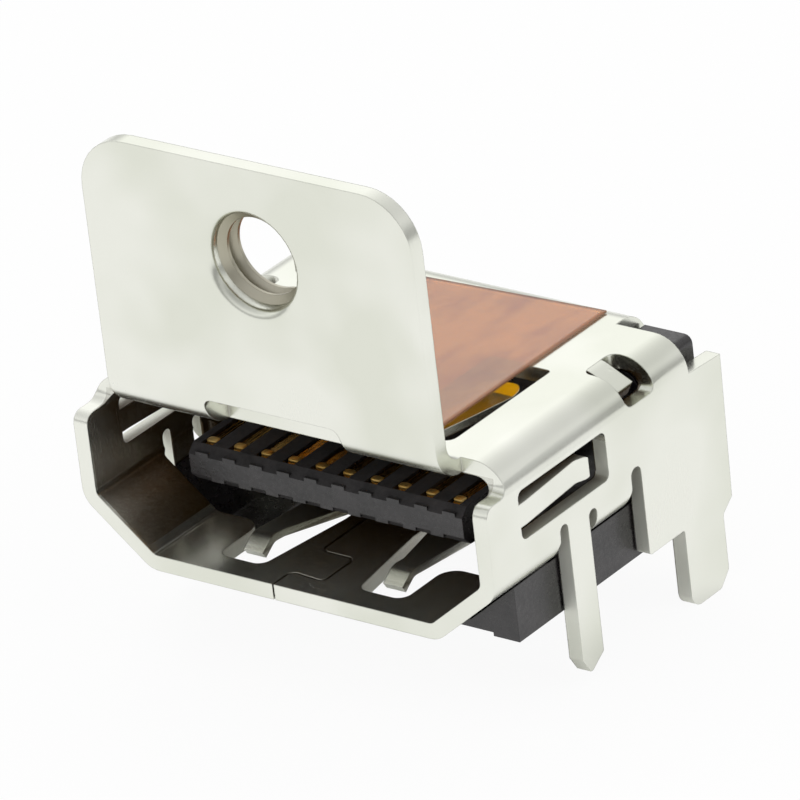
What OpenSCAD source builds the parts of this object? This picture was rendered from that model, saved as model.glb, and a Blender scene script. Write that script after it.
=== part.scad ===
// Right-angle board socket for a 19-way digital video plug, with an upright screw flange.
// A folded sheet-metal shell wraps a moulded housing that holds two rows of contacts on a tongue.
// Every piece is drawn in the mouth's own frame: x across the mouth, y into it from the front edge,
// z up from its floor. in_frame() then sets the board's surface at z = 0.

/* [Sheet] */
// Thickness of the shell's sheet
sheet_t = 0.5; // [0.3:0.05:0.6]
// Inside radius of the wide bends: upper corners, flange and rear cover
bend_r = 0.6; // [0.4:0.05:0.8]
// Inside radius of the tight folds: lower corners and springs
fold_r = 0.3; // [0.15:0.05:0.5]
// Thickness of the floor and roof fingers, which are coined thinner than the sheet
spring_t = 0.25; // [0.2:0.05:0.4]

/* [Mouth] */
// Clear width between the side walls
mouth_w = 14; // [13:0.1:16]
// Clear height from floor to roof
mouth_h = 4.55; // [4.3:0.05:5.5]
// Width of the flat floor between the slanted lower corners
floor_w = 10.1; // [8.6:0.1:11]
// Height of the slanted lower corners
slant_h = 1.6; // [1.2:0.05:1.9]
// Height of the mouth's floor above the board
floor_h = 0.92; // [0.8:0.02:1.5]
// Height of the side walls' front lip above the start of the upper corners
lip_rise = 0.2; // [0.1:0.02:0.3]
// Radius of the lip's two curves
lip_r = 0.36; // [0.2:0.02:0.4]
// Depth of the floor, which ends in front of the housing
floor_len = 6.8; // [6.6:0.05:6.85]
// Depth of the rounded upper corners
corner_len = 10; // [9:0.1:10.2]
// Depth of the side walls
side_len = 11.58; // [11.4:0.02:13]

/* [Flange] */
// Width of the screw flange
flange_w = 11.88; // [9:0.02:13]
// Height of the flange's top edge above the mouth's floor
flange_top = 13.5; // [12.6:0.1:16]
// Radius of the flange's top corners
flange_corner_r = 1.7; // [0.5:0.1:3]
// Width of the relief slot in the flange's bend
relief_w = 4.9; // [2:0.1:8]
// Radius of the relief slot's corners
relief_r = 0.3; // [0.1:0.05:0.5]
// Height of the screw hole above the mouth's floor
screw_z = 10.45; // [9.5:0.05:11]
// Radius of the screw hole's wall, at the root of its thread
screw_r = 1.5; // [1:0.05:2]
// Thickness of the drawn collar's wall around the screw hole
collar_wall = 0.55; // [0.3:0.05:0.8]
// Length of the drawn collar behind the flange
collar_len = 0.9; // [0.5:0.1:1.5]
// Radius of the rolled front lip of the screw hole
hole_lip_r = 0.3; // [0.05:0.05:0.4]

/* [Rear cover] */
// Gap between the rear cover's lower edge and the mouth's floor level
cover_rise = 0.2; // [-0.2:0.05:1.5]
// Depth of the rear cover's outer face
cover_len = 11.4; // [11.3:0.05:13]
// Cover width beyond the outer contacts, on each side
cover_margin = 0.55; // [0.3:0.05:1]

/* [Springs] */
// Depth of the side windows' front end
side_win_y = 1.52; // [1.4:0.02:2]
// Length of the side windows
side_win_len = 4.28; // [3.9:0.02:4.8]
// Height of the side windows' lower edge above the floor
side_win_z = 2.48; // [2.3:0.02:2.6]
// Height of the side windows
side_win_h = 1.55; // [1.3:0.05:1.8]
// Radius of the side windows' corners
side_win_r = 0.22; // [0.1:0.02:0.3]
// Width of the side fingers
side_arm_w = 0.72; // [0.5:0.02:0.9]
// Height of the side fingers' middle above the windows' middle
side_rise = 0.02; // [-0.1:0.01:0.1]
// Straight length of the side fingers behind the windows' front end
side_root = 0.3; // [0.2:0.05:0.6]
// Length of the side fingers' turned-out tips
side_tip_len = 0.5; // [0.4:0.05:0.8]
// Radius of the side fingers' tip corners
side_tip_r = 0.25; // [0.1:0.01:0.25]
// Gap between the side fingers' tip and the windows' rear end
side_tip_gap = 0.78; // [0.6:0.02:1]
// How far the side fingers bow in
side_bow = 0.2; // [0.1:0.01:0.4]
// Distance of the floor springs' heads from the middle
floor_spring_x = 2.55; // [2.4:0.05:2.7]
// Distance of the floor windows' outer edge from the middle
floor_win_outer = 3.4; // [3.2:0.05:3.8]
// Distance of the floor windows' inner edge from the middle, at their rear
floor_win_inner = 1.25; // [1.1:0.05:1.4]
// How far the floor windows narrow towards the front
floor_win_taper = 0.5; // [0.2:0.05:0.6]
// Depth of the floor windows' front end
floor_win_y = 0.85; // [0.7:0.05:1.2]
// Depth of the floor windows' rear end
floor_win_end = 6; // [5.6:0.05:6.2]
// Radius of the floor windows' front corners
floor_win_r = 0.4; // [0.2:0.05:0.45]
// Radius where the floor windows start to narrow
floor_blend_r = 1; // [0.5:0.1:2]
// Radius of the floor's corner between window and front leg opening
floor_corner_r = 0.6; // [0.2:0.05:0.8]
// Width of the floor fingers' heads
floor_arm_w = 0.7; // [0.5:0.05:0.8]
// Gap between the floor fingers' arms and the windows' inner edge
floor_arm_gap = 0.25; // [0.15:0.01:0.35]
// Gap between the floor fingers' tips and the windows' front end
floor_tip_gap = 0.7; // [0.5:0.05:1]
// Length of the floor fingers' turned-down tips
floor_tip_len = 0.5; // [0.4:0.05:0.8]
// Length of the floor fingers' heads
floor_head_len = 1; // [0.8:0.05:1.5]
// Length of the floor fingers' straight arms in front of the windows' rear end
floor_arm_len = 1; // [0.5:0.05:1.5]
// Straight length of the floor fingers in front of the windows' rear end
floor_root = 0.3; // [0.2:0.05:0.5]
// How far the floor fingers rise into the mouth
floor_bow = 0.33; // [0.1:0.01:0.5]
// Distance of the roof springs from the middle
roof_spring_x = 4; // [3.5:0.05:4.2]
// Width of the roof windows
roof_win_w = 2.2; // [1.8:0.05:2.4]
// Depth of the roof windows' front end
roof_win_y = 1.75; // [1.6:0.05:2.2]
// Depth of the roof windows' rear end
roof_win_end = 6.7; // [6.2:0.05:7.2]
// Radius of the roof windows' front corners
roof_win_front_r = 0.3; // [0.1:0.05:0.5]
// Radius of the roof windows' rear corners
roof_win_r = 0.15; // [0.1:0.05:0.4]
// Width of the roof fingers
roof_arm_w = 0.85; // [0.6:0.05:1.2]
// Gap between the roof fingers' tips and the windows' rear end
roof_tip_gap = 0.45; // [0.3:0.05:0.8]
// Straight length of the roof fingers behind the windows' front end
roof_root = 0.3; // [0.2:0.05:0.6]
// Length of the roof fingers' flat pads
roof_pad_len = 0.6; // [0.5:0.05:1]
// Rise of the roof fingers' pads towards their tips
roof_pad_rise = 0.1; // [0:0.02:0.2]
// How far the roof fingers dip into the mouth
roof_bow = 0.5; // [0.2:0.01:0.6]

/* [Legs] */
// Depth of the front legs' front edge
leg_y = 3.66; // [3.4:0.02:3.8]
// Width of the front legs
leg_w = 1; // [0.9:0.02:1.3]
// Reach of the front legs below the board
leg_reach = 2; // [1.5:0.05:3]
// Height of the bevel at the front of the front legs' points
leg_front_cut = 0.48; // [0.2:0.02:0.6]
// Height of the bevel at the rear of the front legs' points
leg_rear_cut = 0.36; // [0.2:0.02:0.6]
// Distance of the front legs' points behind their front edge
leg_point_y = 0.3; // [0.2:0.02:0.5]
// Width of the front legs' blunt points
leg_point_w = 0.12; // [0.05:0.01:0.3]
// Width of the relief slots beside the front legs
leg_slot_w = 0.4; // [0.25:0.01:0.45]
// Height of the front relief slots' round tops above the floor
leg_slot_z = 2.1; // [1.9:0.01:2.2]
// Height of the rear relief slots' round tops above the floor
rear_slot_z = 1.95; // [1.9:0.01:2.2]
// Depth of the rear side plates' front edge
plate_y = 7.3; // [7:0.05:7.6]
// Height of the rear side plates' lower edge above the board
plate_rise = 0.19; // [0.05:0.01:0.4]
// Height of the slope between the rear side plates' lower edge and the rear legs
plate_heel = 0.38; // [0.2:0.02:0.6]
// How far the rear side plates' rear edge leans in towards its foot
plate_lean = 0.13; // [0:0.01:0.2]
// Drop of the rear side plates' rear top corner below the start of the upper corners
plate_drop = 0.09; // [0:0.01:0.3]
// Height of the slot between floor and rear side plates above the floor
plate_slot_z = 2.27; // [2:0.01:2.6]
// Depth of the rear legs' front edge
rear_leg_y = 9.05; // [8.6:0.05:9.4]
// Width of the rear legs
rear_leg_w = 1.9; // [1.4:0.05:2.1]
// Reach of the rear legs below the board
rear_leg_reach = 2.43; // [1.8:0.01:3.5]
// Size of the bevel at the rear of the rear legs' ends
rear_leg_cut = 0.45; // [0.2:0.05:0.6]
// Radius of the front corner of the rear legs' ends
rear_leg_r = 0.45; // [0.2:0.05:0.6]

/* [Retaining tabs] */
// Depth of the corner windows' front end
tab_win_y = 6.95; // [6.8:0.05:7.2]
// Length of the corner windows
tab_win_len = 1.45; // [1.3:0.05:1.7]
// Radius of the corner windows' corners
tab_win_r = 0.3; // [0.1:0.05:0.4]
// Height of the corner windows' lower edge above the start of the upper corners
tab_win_rise = 0.2; // [0.1:0.02:0.3]
// Length of the slit in front of the tab
tab_slit = 0.2; // [0.1:0.01:0.3]
// Width of the tab
tab_w = 0.75; // [0.5:0.05:0.9]
// Inset of the tab's root from the side wall's outer face
tab_inset = 1.5; // [1.2:0.05:1.8]
// Slope of the tab
tab_angle = 26; // [15:1:35]
// Gap between the tab's tip and the side wall's inner face
tab_tip_gap = 0.05; // [0:0.01:0.2]

/* [Contacts] */
// Spacing of the contacts within a row
pitch = 1; // [0.8:0.05:1.1]
// Contacts in the upper row
upper_count = 10; // [6:1:10]
// Width of a contact on the tongue
contact_w = 0.4; // [0.3:0.02:0.5]
// Width of a contact's tail
tail_w = 0.26; // [0.2:0.02:0.3]
// Thickness of the contact strip
contact_t = 0.2; // [0.15:0.01:0.25]
// Depth of the contacts below the tongue's faces
contact_sink = 0.08; // [0.04:0.01:0.12]
// Depth of the contacts' tips
tip_y = 2.32; // [2.2:0.02:2.6]
// Length of the turned-in tips
tip_len = 0.3; // [0.25:0.01:0.35]
// Depth of the upper contacts' tails
upper_tail_y = 10.4; // [10.2:0.05:10.5]
// Depth of the lower contacts' tails
lower_tail_y = 9.9; // [9.8:0.05:10]
// Length of the tails' feet behind the rear cover
foot_out = 1.2; // [0.8:0.1:1.6]

/* [Housing] */
// Height of the tongue's underside above the floor
tongue_z = 1.5; // [1.3:0.05:1.6]
// Thickness of the tongue
tongue_t = 1.2; // [1.1:0.05:1.4]
// Depth of the tongue's front face
tongue_y = 2; // [1.8:0.05:2.1]
// Bevel along the tongue's front edges
tongue_bevel = 0.28; // [0.1:0.02:0.35]
// Width of the teeth that stand on the bevels before the contacts' tips
tooth_w = 0.46; // [0.3:0.02:0.6]
// Depth of the teeth's ends below the tongue's faces
tooth_drop = 0.16; // [0.05:0.01:0.2]
// Plastic beside the outer contacts
tongue_edge = 0.48; // [0.4:0.02:0.8]
// Inset of the housing's rear block from its side rails
post_inset = 0.12; // [0:0.01:0.2]
// Depth of the housing's rear posts
post_len = 11.2; // [11:0.05:12]
// Radius of the rear posts' upper corners, behind the shell's rounded corners
post_r = 0.25; // [0.1:0.05:0.6]
// Depth of the rear pocket that holds the tails
pocket_y = 9.5; // [9.2:0.05:9.6]
// Width of the side rails on the board
rail_w = 2.35; // [1.5:0.05:2.6]
// Depth of the side rails' front end
rail_y = 1.55; // [1.2:0.05:2]
// Width of the rails' feet, along their outer sides
foot_w = 0.93; // [0.5:0.01:1.2]
// Height of the rest of the rails above the board
foot_h = 0.12; // [0.05:0.01:0.25]
// Width of the step on the rails' inner side, under the front legs' openings
step_w = 0.7; // [0.3:0.05:1]
// Depth of the step's front end
step_y = 2.95; // [2.5:0.05:3.5]

/* [Pick-up film] */
// Width of the film
film_w = 8.7; // [7:0.1:9.4]
// Depth of the film's front edge
film_y = 1.45; // [1.3:0.05:3]
// Depth of the film's rear edge
film_end = 10.5; // [9:0.1:10.6]
// Thickness of film and adhesive
film_t = 0.08; // [0.05:0.01:0.12]
// How much shorter the film's left edge is cut than its right edge
film_skew = 0.5; // [0:0.05:1]

/* [Seam] */
// Distance of the seam from the middle of the floor
seam_x = 0.7; // [0.3:0.05:0.8]
// Width of the locking tab
lock_w = 1.25; // [0.8:0.05:1.4]
// Depth of the locking tab's front edge
lock_y = 0.85; // [0.7:0.05:1]
// Length of the locking tab
lock_len = 1.5; // [1:0.1:2]
// How far the locking tab's front edge slants
lock_slant = 0.12; // [0:0.02:0.2]
// Radius of the seam's corners
seam_r = 0.2; // [0.1:0.02:0.3]
// Width of the seam's gap
seam_gap = 0.07; // [0.04:0.01:0.1]

/* [Hidden] */
// Gap between the shell and the housing
seat_gap = 0.05;
// Gap around a contact in its slot
contact_gap = 0.02;
// Depth of the frame's origin behind the mouth's front edge
datum_y = 8;
// Turn of one step in a wide bend and in a tight one, and the radius that divides them
wide_angle = 10;
tight_angle = 22.5;
tight_r = 0.4;
// Part of the width of a slot or a finger that each of its end corners rounds
slot_round = 0.48;
// Width of the flare at the foot of a relief slot
flare = 0.2;
// Overrun of a cutting shape past the face it opens
over = 0.5;

contact_count = 2 * upper_count - 1;
roof_z = mouth_h + sheet_t;
side_x = mouth_w / 2 + sheet_t;
bend_out = bend_r + sheet_t;
roof_mid = mouth_h + sheet_t / 2;
side_mid = mouth_w / 2 + sheet_t / 2;
tail_pitch = pitch / 2;
row_half = (upper_count - 1) * pitch / 2;
cover_half = row_half + cover_margin;
cover_mid = cover_len - sheet_t / 2;
tongue_half = row_half + tongue_edge;
tongue_top = tongue_z + tongue_t;
block_half = mouth_w / 2 - seat_gap;
post_half = block_half - post_inset;
block_top = mouth_h - seat_gap;
block_y = plate_y;
board_z = -floor_h;
upper_z = tongue_top - contact_t / 2 - contact_sink;
lower_z = tongue_z + contact_t / 2 + contact_sink;
plate_z = board_z + plate_rise;
taper_y = (floor_win_y + 2 * floor_win_end) / 3;

function contact_name(i) = str("contact_", i < 10 ? "0" : "", i);

// Unit vector, left-hand normal and signed turn of plane vectors
function unit(v) = v / norm(v);
function left(v) = [-v[1], v[0]];
function cross2(a, b) = a[0] * b[1] - a[1] * b[0];

// Angle from direction a to direction b, between -180 and 180 degrees
function turn(a, b) = atan2(cross2(a, b), a * b);

// Centre of the arc of radius r that rounds corner b of the path a, b, c
function arc_centre(a, b, c, r) =
    let (u = unit(a - b), w = unit(c - b))
    b + unit(u + w) * r / sin(acos(u * w) / 2);

// Arc of radius r about m that turns from the edge direction d0 to d1, on the side given by s
function bend_arc(m, r, d0, d1, s) =
    let (n = max(2, ceil(abs(turn(d0, d1)) / (r < tight_r ? tight_angle : wide_angle))))
    [for (i = [0:n])
        let (a = turn([1, 0], d0) + turn(d0, d1) * i / n)
        m + r * s * [sin(a), -cos(a)]];

// Closed outline with its corners rounded, each by its own radius
function rounded(points, radii) =
    let (n = len(points))
    [for (i = [0:n - 1])
        let (a = points[(i + n - 1) % n], b = points[i], c = points[(i + 1) % n], r = radii[i])
        each r <= 0 ? [b]
            : bend_arc(arc_centre(a, b, c, r), r, unit(b - a), unit(c - b), sign(turn(b - a, c - b)))];

// Closed outline moved outwards by d, for points that run anticlockwise
function grown(points, d) =
    let (n = len(points))
    [for (i = [0:n - 1])
        let (a = points[(i + n - 1) % n], b = points[i], c = points[(i + 1) % n],
            n1 = -left(unit(b - a)), n2 = -left(unit(c - b)))
        b + d * (n1 + n2) / (1 + n1 * n2)];

// One long edge of a folded strip, side 1 to the left of its middle line and -1 to the right
function strip_side(path, t, r, side) =
    let (n = len(path), first = unit(path[1] - path[0]), last = unit(path[n - 1] - path[n - 2]))
    concat(
        [path[0] + side * left(first) * t / 2],
        [for (i = [1:n - 2])
            let (d0 = unit(path[i] - path[i - 1]), d1 = unit(path[i + 1] - path[i]), s = sign(turn(d0, d1)),
                m = arc_centre(path[i - 1], path[i], path[i + 1], r + t / 2))
            each bend_arc(m, r + t / 2 - s * side * t / 2, d0, d1, s)],
        [path[n - 1] + side * left(last) * t / 2]);

function reversed(list) = [for (i = [len(list) - 1:-1:0]) list[i]];

// Outline of a strip of thickness t that is folded along a path with inside radius r
function strip(path, t, r) = concat(strip_side(path, t, r, -1), reversed(strip_side(path, t, r, 1)));

// Sets a piece from the mouth's frame into the board's frame
module in_frame() translate([0, -datum_y, floor_h]) children();

// Draws the children and their mirror image across the middle plane
module both_sides() {
    children();
    mirror([1, 0, 0]) children();
}

// Extrudes an outline in x and z along y, from y0 to y1
module along_y(y0, y1) translate([0, y1, 0]) rotate([90, 0, 0]) linear_extrude(y1 - y0) children();

// Extrudes an outline in y and z along x, from x0 to x1
module along_x(x0, x1) translate([x0, 0, 0]) rotate([90, 0, 90]) linear_extrude(x1 - x0) children();

// Extrudes an outline in x and y along z, from z0 to z1
module along_z(z0, z1) translate([0, 0, z0]) linear_extrude(z1 - z0) children();

// Box between two opposite corners
module block(low, high) translate(low) cube(high - low);

// Rectangle in the drawing plane with rounded corners, from its low to its high corner
module rounded_rect(low, high, r) polygon(rounded(
    [low, [high[0], low[1]], high, [low[0], high[1]]], [r, r, r, r]));

// Clear section of the mouth, anticlockwise from its lower left corner
mouth = [
    [-floor_w / 2, 0], [floor_w / 2, 0], [mouth_w / 2, slant_h],
    [mouth_w / 2, mouth_h], [-mouth_w / 2, mouth_h], [-mouth_w / 2, slant_h]
];
mouth_radii = [fold_r, fold_r, fold_r, bend_r, bend_r, fold_r];

// Sheet round the whole mouth
module tunnel() along_y(0, floor_len) difference() {
    polygon(rounded(grown(mouth, sheet_t), [for (r = mouth_radii) r + sheet_t]));
    polygon(rounded(mouth, mouth_radii));
}

// Roof with its rounded corners, carried on behind the floor
module roof() along_y(floor_len, corner_len) polygon(strip([
    [side_mid, slant_h], [side_mid, roof_mid], [-side_mid, roof_mid], [-side_mid, slant_h]
], sheet_t, bend_r));

// Front edge of the roof, set back to where the flange's bend starts
module roof_setback() {
    lip_z = mouth_h - bend_r + lip_rise;
    along_x(-side_x - over, side_x + over) polygon(concat(
        [[bend_out, roof_z + over], [-over, roof_z + over], [-over, lip_z - lip_r], [0, lip_z - lip_r]],
        bend_arc([lip_r, lip_z - lip_r], lip_r, [0, 1], [1, 0], -1),
        bend_arc([bend_out - lip_r, lip_z + lip_r], lip_r, [1, 0], [0, 1], 1)));
}

// Upright flange with its bend into the roof
module flange() difference() {
    intersection() {
        along_x(-flange_w / 2, flange_w / 2) polygon(strip([
            [sheet_t / 2, flange_top], [sheet_t / 2, roof_mid], [bend_out + over, roof_mid]
        ], sheet_t, bend_r));
        along_y(-over, bend_out + over + over) polygon(rounded([
            [-flange_w / 2, 0], [flange_w / 2, 0], [flange_w / 2, flange_top], [-flange_w / 2, flange_top]
        ], [0, 0, flange_corner_r, flange_corner_r]));
    }
    along_y(-over, bend_out)
        rounded_rect([-relief_w / 2, mouth_h - over], [relief_w / 2, roof_z + bend_r], relief_r);
}

// Drawn collar round the screw hole
module screw_collar() translate([0, 0, screw_z]) rotate([-90, 0, 0])
    cylinder(r = screw_r + collar_wall, h = sheet_t + collar_len, $fn = 64);

// Screw hole with its rolled front lip
module screw_hole() translate([0, 0, screw_z]) rotate([-90, 0, 0]) {
    translate([0, 0, -over]) cylinder(r = screw_r, h = sheet_t + collar_len + 2 * over, $fn = 64);
    rotate_extrude($fn = 64) difference() {
        translate([0, -over]) square([screw_r + hole_lip_r, over + hole_lip_r]);
        translate([screw_r + hole_lip_r, hole_lip_r]) circle(r = hole_lip_r, $fn = 32);
    }
}

// Rear cover, folded down from the roof
module rear_cover() along_x(-cover_half, cover_half) polygon(strip([
    [corner_len - over, roof_mid], [cover_mid, roof_mid], [cover_mid, cover_rise]
], sheet_t, bend_r));

// Side window
module side_window() along_x(mouth_w / 2 - over, side_x + over)
    rounded_rect([side_win_y, side_win_z], [side_win_y + side_win_len, side_win_z + side_win_h], side_win_r);

// Spring finger of a side wall, rooted at the window's front end, bowed in and turned out at its round tip
module side_finger() {
    mid = side_win_z + side_win_h / 2 + side_rise;
    low = mid - side_arm_w / 2;
    high = mid + side_arm_w / 2;
    root = side_win_y - over;
    tip = side_win_y + side_win_len - side_tip_gap;
    intersection() {
        along_z(side_win_z, side_win_z + side_win_h) polygon(strip([
            [side_mid, root], [side_mid, side_win_y + side_root],
            [side_mid - side_bow, tip - side_tip_len], [side_mid, tip]
        ], sheet_t, fold_r));
        along_x(mouth_w / 2 - over, side_x + over) polygon(rounded(
            [[root, low], [tip, low], [tip, high], [root, high]], [0, side_tip_r, side_tip_r, 0]));
    }
}

// Floor window, wider at its rear and open to the front leg's opening beside it
module floor_window() {
    x1 = mouth_w / 2 - seat_gap;
    y0 = leg_y - leg_slot_w - flare;
    y1 = leg_y + leg_w + 2 * leg_slot_w;
    along_z(-sheet_t - over, slant_h) polygon(rounded([
        [floor_win_inner + floor_win_taper, floor_win_y], [floor_win_outer, floor_win_y],
        [floor_win_outer, y0], [x1, y0], [x1, y1], [floor_win_outer, y1],
        [floor_win_outer, floor_win_end], [floor_win_inner, floor_win_end], [floor_win_inner, taper_y]
    ], [floor_win_r, floor_win_r, floor_corner_r, flare, flare, 0, fold_r, fold_r, floor_blend_r]));
}

// Spring finger of the floor, rooted at the window's rear end, tapering to a head with a turned-down tip
module floor_finger() {
    z0 = -spring_t / 2;
    tip = floor_win_y + floor_tip_gap;
    arm_x = floor_win_inner + floor_arm_gap;
    x0 = floor_spring_x - floor_arm_w / 2;
    x1 = floor_spring_x + floor_arm_w / 2;
    root = floor_win_end + over;
    intersection() {
        along_x(floor_win_inner, floor_win_outer) polygon(strip([
            [root, z0], [floor_win_end - floor_root, z0], [tip + floor_tip_len, z0 + floor_bow], [tip, z0]
        ], spring_t, fold_r));
        along_z(-sheet_t - over, floor_bow + over) polygon([
            [x0, 0], [x1, 0], [x1, root], [arm_x, root],
            [arm_x, floor_win_end - floor_arm_len], [x0, tip + floor_head_len]
        ]);
    }
}

// Roof window
module roof_window() {
    half = roof_win_w / 2;
    translate([roof_spring_x, 0, 0]) along_z(mouth_h - over, roof_z + over) polygon(rounded(
        [[-half, roof_win_y], [half, roof_win_y], [half, roof_win_end], [-half, roof_win_end]],
        [roof_win_front_r, roof_win_front_r, roof_win_r, roof_win_r]));
}

// Spring finger of the roof, rooted at the window's front end, with a round tip
module roof_finger() {
    z0 = roof_z - spring_t / 2;
    tip = roof_win_end - roof_tip_gap;
    half = roof_arm_w / 2;
    r = roof_arm_w * slot_round;
    translate([roof_spring_x, 0, 0]) intersection() {
        along_x(-half, half) polygon(strip([
            [roof_win_y - over, z0], [roof_win_y + roof_root, z0],
            [tip - roof_pad_len, z0 - roof_bow], [tip, z0 - roof_bow + roof_pad_rise]
        ], spring_t, fold_r));
        along_z(mouth_h - roof_bow - over, roof_z + over) polygon(rounded([
            [-half, roof_win_y - over], [half, roof_win_y - over], [half, tip], [-half, tip]
        ], [0, 0, r, r]));
    }
}

// Opening in the side wall that the front leg is cut from: two relief slots, the front one flared at its foot
module leg_opening() {
    y0 = leg_y - leg_slot_w;
    y1 = leg_y + leg_w;
    y2 = y1 + leg_slot_w;
    low = -sheet_t - over;
    r = leg_slot_w * slot_round;
    along_x(floor_w / 2, side_x + over) polygon(rounded([
        [y0 - flare, low], [y2, low], [y2, rear_slot_z], [y1, rear_slot_z], [y1, slant_h], [leg_y, slant_h],
        [leg_y, leg_slot_z], [y0, leg_slot_z], [y0, slant_h], [y0 - flare, slant_h - sheet_t]
    ], [0, 0, r, r, 0, 0, r, r, flare, 0]));
}

// Front leg, straight down from the side wall to a bevelled point
module front_leg() {
    low = board_z - leg_reach;
    top = (max(leg_slot_z, rear_slot_z) + side_win_z) / 2;
    point = leg_y + leg_point_y;
    along_x(mouth_w / 2, side_x) polygon([
        [leg_y, top], [leg_y, low + leg_front_cut], [point, low], [point + leg_point_w, low],
        [leg_y + leg_w, low + leg_rear_cut], [leg_y + leg_w, top]
    ]);
}

// Slot between the floor's rear end and the side plate
module plate_slot() {
    r = (plate_y - floor_len) * slot_round;
    low = -sheet_t - over;
    along_x(floor_w / 2, side_x + over) polygon(rounded([
        [floor_len - flare, low], [plate_y, low], [plate_y, plate_slot_z], [floor_len, plate_slot_z],
        [floor_len, slant_h], [floor_len - flare, slant_h - sheet_t]
    ], [0, 0, r, r, flare, 0]));
}

// Rear part of the side wall, with its wide leg
module side_plate() {
    low = board_z - rear_leg_reach;
    top = mouth_h - bend_r;
    y1 = rear_leg_y + rear_leg_w;
    along_x(mouth_w / 2, side_x) polygon(rounded([
        [plate_y, top], [plate_y, plate_z], [rear_leg_y, plate_z], [rear_leg_y, low],
        [y1 - rear_leg_cut, low], [y1, low + rear_leg_cut], [y1, plate_z - plate_heel],
        [side_len - plate_lean, plate_z], [side_len, top - plate_drop], [corner_len, top]
    ], [0, flare / 2, flare / 2, rear_leg_r, flare, flare, flare, 0, 0, 0]));
}

// Window across the rounded upper corner, with rounded corners in the roof and in the side wall
module corner_window() {
    x0 = side_x - tab_inset;
    y1 = tab_win_y + tab_win_len;
    low = mouth_h - bend_r + tab_win_rise;
    intersection() {
        along_z(low, roof_z + over) rounded_rect([x0, tab_win_y], [side_x + bend_out, y1], tab_win_r);
        along_x(x0 - over, side_x + over) rounded_rect([tab_win_y, low], [y1, roof_z + bend_out], tab_win_r);
    }
}

// Tab that is bent in through the corner window to hold the housing
module corner_tab() {
    root = side_x - tab_inset;
    reach = tab_inset - sheet_t - tab_tip_gap;
    y0 = tab_win_y + tab_slit;
    along_y(y0, y0 + tab_w) polygon(strip([
        [root - over, roof_mid], [root, roof_mid], [root + reach, roof_mid - reach * tan(tab_angle)]
    ], sheet_t, fold_r));
}

// Seam along the floor, with its locking tab
module seam() {
    y1 = lock_y + lock_len;
    lock_x = lock_w - seam_x;
    along_z(-sheet_t - over, over) polygon(strip([
        [-seam_x, -over], [-seam_x, lock_y + lock_slant / 2], [lock_x, lock_y - lock_slant / 2], [lock_x, y1],
        [-seam_x, y1], [-seam_x, floor_len + over]
    ], seam_gap, seam_r));
}

// Folded shell: mouth, roof, sides, legs, springs, flange and rear cover in one sheet
module shell() color("gainsboro") in_frame() {
    difference() {
        union() {
            difference() {
                union() {
                    tunnel();
                    roof();
                }
                roof_setback();
                both_sides() {
                    side_window();
                    floor_window();
                    roof_window();
                    leg_opening();
                    plate_slot();
                    corner_window();
                }
                seam();
            }
            flange();
            screw_collar();
            rear_cover();
            both_sides() {
                side_finger();
                floor_finger();
                roof_finger();
                front_leg();
                side_plate();
                corner_tab();
            }
        }
        screw_hole();
    }
}

// Middle line of a contact, in y and z, from its tip to its foot
function contact_path(upper) =
    let (z = upper ? upper_z : lower_z, down = upper ? -1 : 1, tail = upper ? upper_tail_y : lower_tail_y,
        foot = board_z + contact_t / 2, tip = tip_y + contact_t / 2)
    [[tip, z + down * tip_len], [tip, z], [tail, z], [tail, foot], [cover_len + foot_out, foot]];

// Contact of the upper row when i is odd, and of the lower row when it is even
module contact(i) {
    path = contact_path(i % 2 == 1);
    x = row_half - (i - 1) * tail_pitch;
    color("goldenrod") in_frame() translate([x, 0, 0]) {
        along_x(-tail_w / 2, tail_w / 2) polygon(strip(path, contact_t, contact_t / 2));
        along_x(-contact_w / 2, contact_w / 2)
            polygon(strip([path[0], path[1], [pocket_y - over, path[1][1]]], contact_t, contact_t / 2));
    }
}

// Slot that a contact lies in: a groove in the tongue, carried through the block to the rear pocket
module contact_slot(i) {
    upper = i % 2 == 1;
    half = contact_w / 2 + contact_gap;
    z = upper ? upper_z : lower_z;
    low = z - contact_t / 2 - contact_gap;
    high = z + contact_t / 2 + contact_gap;
    front = tip_y - contact_gap;
    tip = tip_len + contact_gap;
    translate([row_half - (i - 1) * tail_pitch, 0, 0]) {
        block([-half, front, low], [half, pocket_y + over, high]);
        if (upper) {
            block([-half, front, low], [half, block_y, tongue_top + over]);
            block([-half, front, z - tip], [half, tip_y + 2 * contact_t, high]);
        } else {
            block([-half, front, tongue_z - over], [half, block_y, high]);
            block([-half, front, low], [half, tip_y + 2 * contact_t, z + tip]);
        }
    }
}

// Rear block of the housing, which fills the shell behind the mouth
module rear_block() difference() {
    outline = [[-post_half, board_z], [post_half, board_z], [post_half, block_top], [-post_half, block_top]];
    union() {
        along_y(block_y, post_len) polygon(rounded(outline, [0, 0, bend_r, bend_r]));
        along_y(corner_len + seat_gap, post_len) polygon(rounded(outline, [0, 0, post_r, post_r]));
    }
    cover_recess();
    tail_pocket();
    both_sides() block(
        [side_x - tab_inset - 2 * seat_gap, block_y - over, mouth_h - bend_r - seat_gap],
        [block_half + over, tab_win_y + tab_win_len + seat_gap, block_top + over]);
}

// Recess behind the block that lets the rear cover and its bend in
module cover_recess() {
    inner = cover_len - sheet_t - seat_gap;
    half = cover_half + 2 * seat_gap;
    difference() {
        block([-half, inner - bend_r, board_z - over], [half, post_len + over, block_top + over]);
        along_x(-half - over, half + over) polygon(rounded([
            [inner - bend_r - over, board_z - 2 * over], [inner, board_z - 2 * over],
            [inner, block_top], [inner - bend_r - over, block_top]
        ], [0, 0, bend_r, 0]));
    }
}

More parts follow.
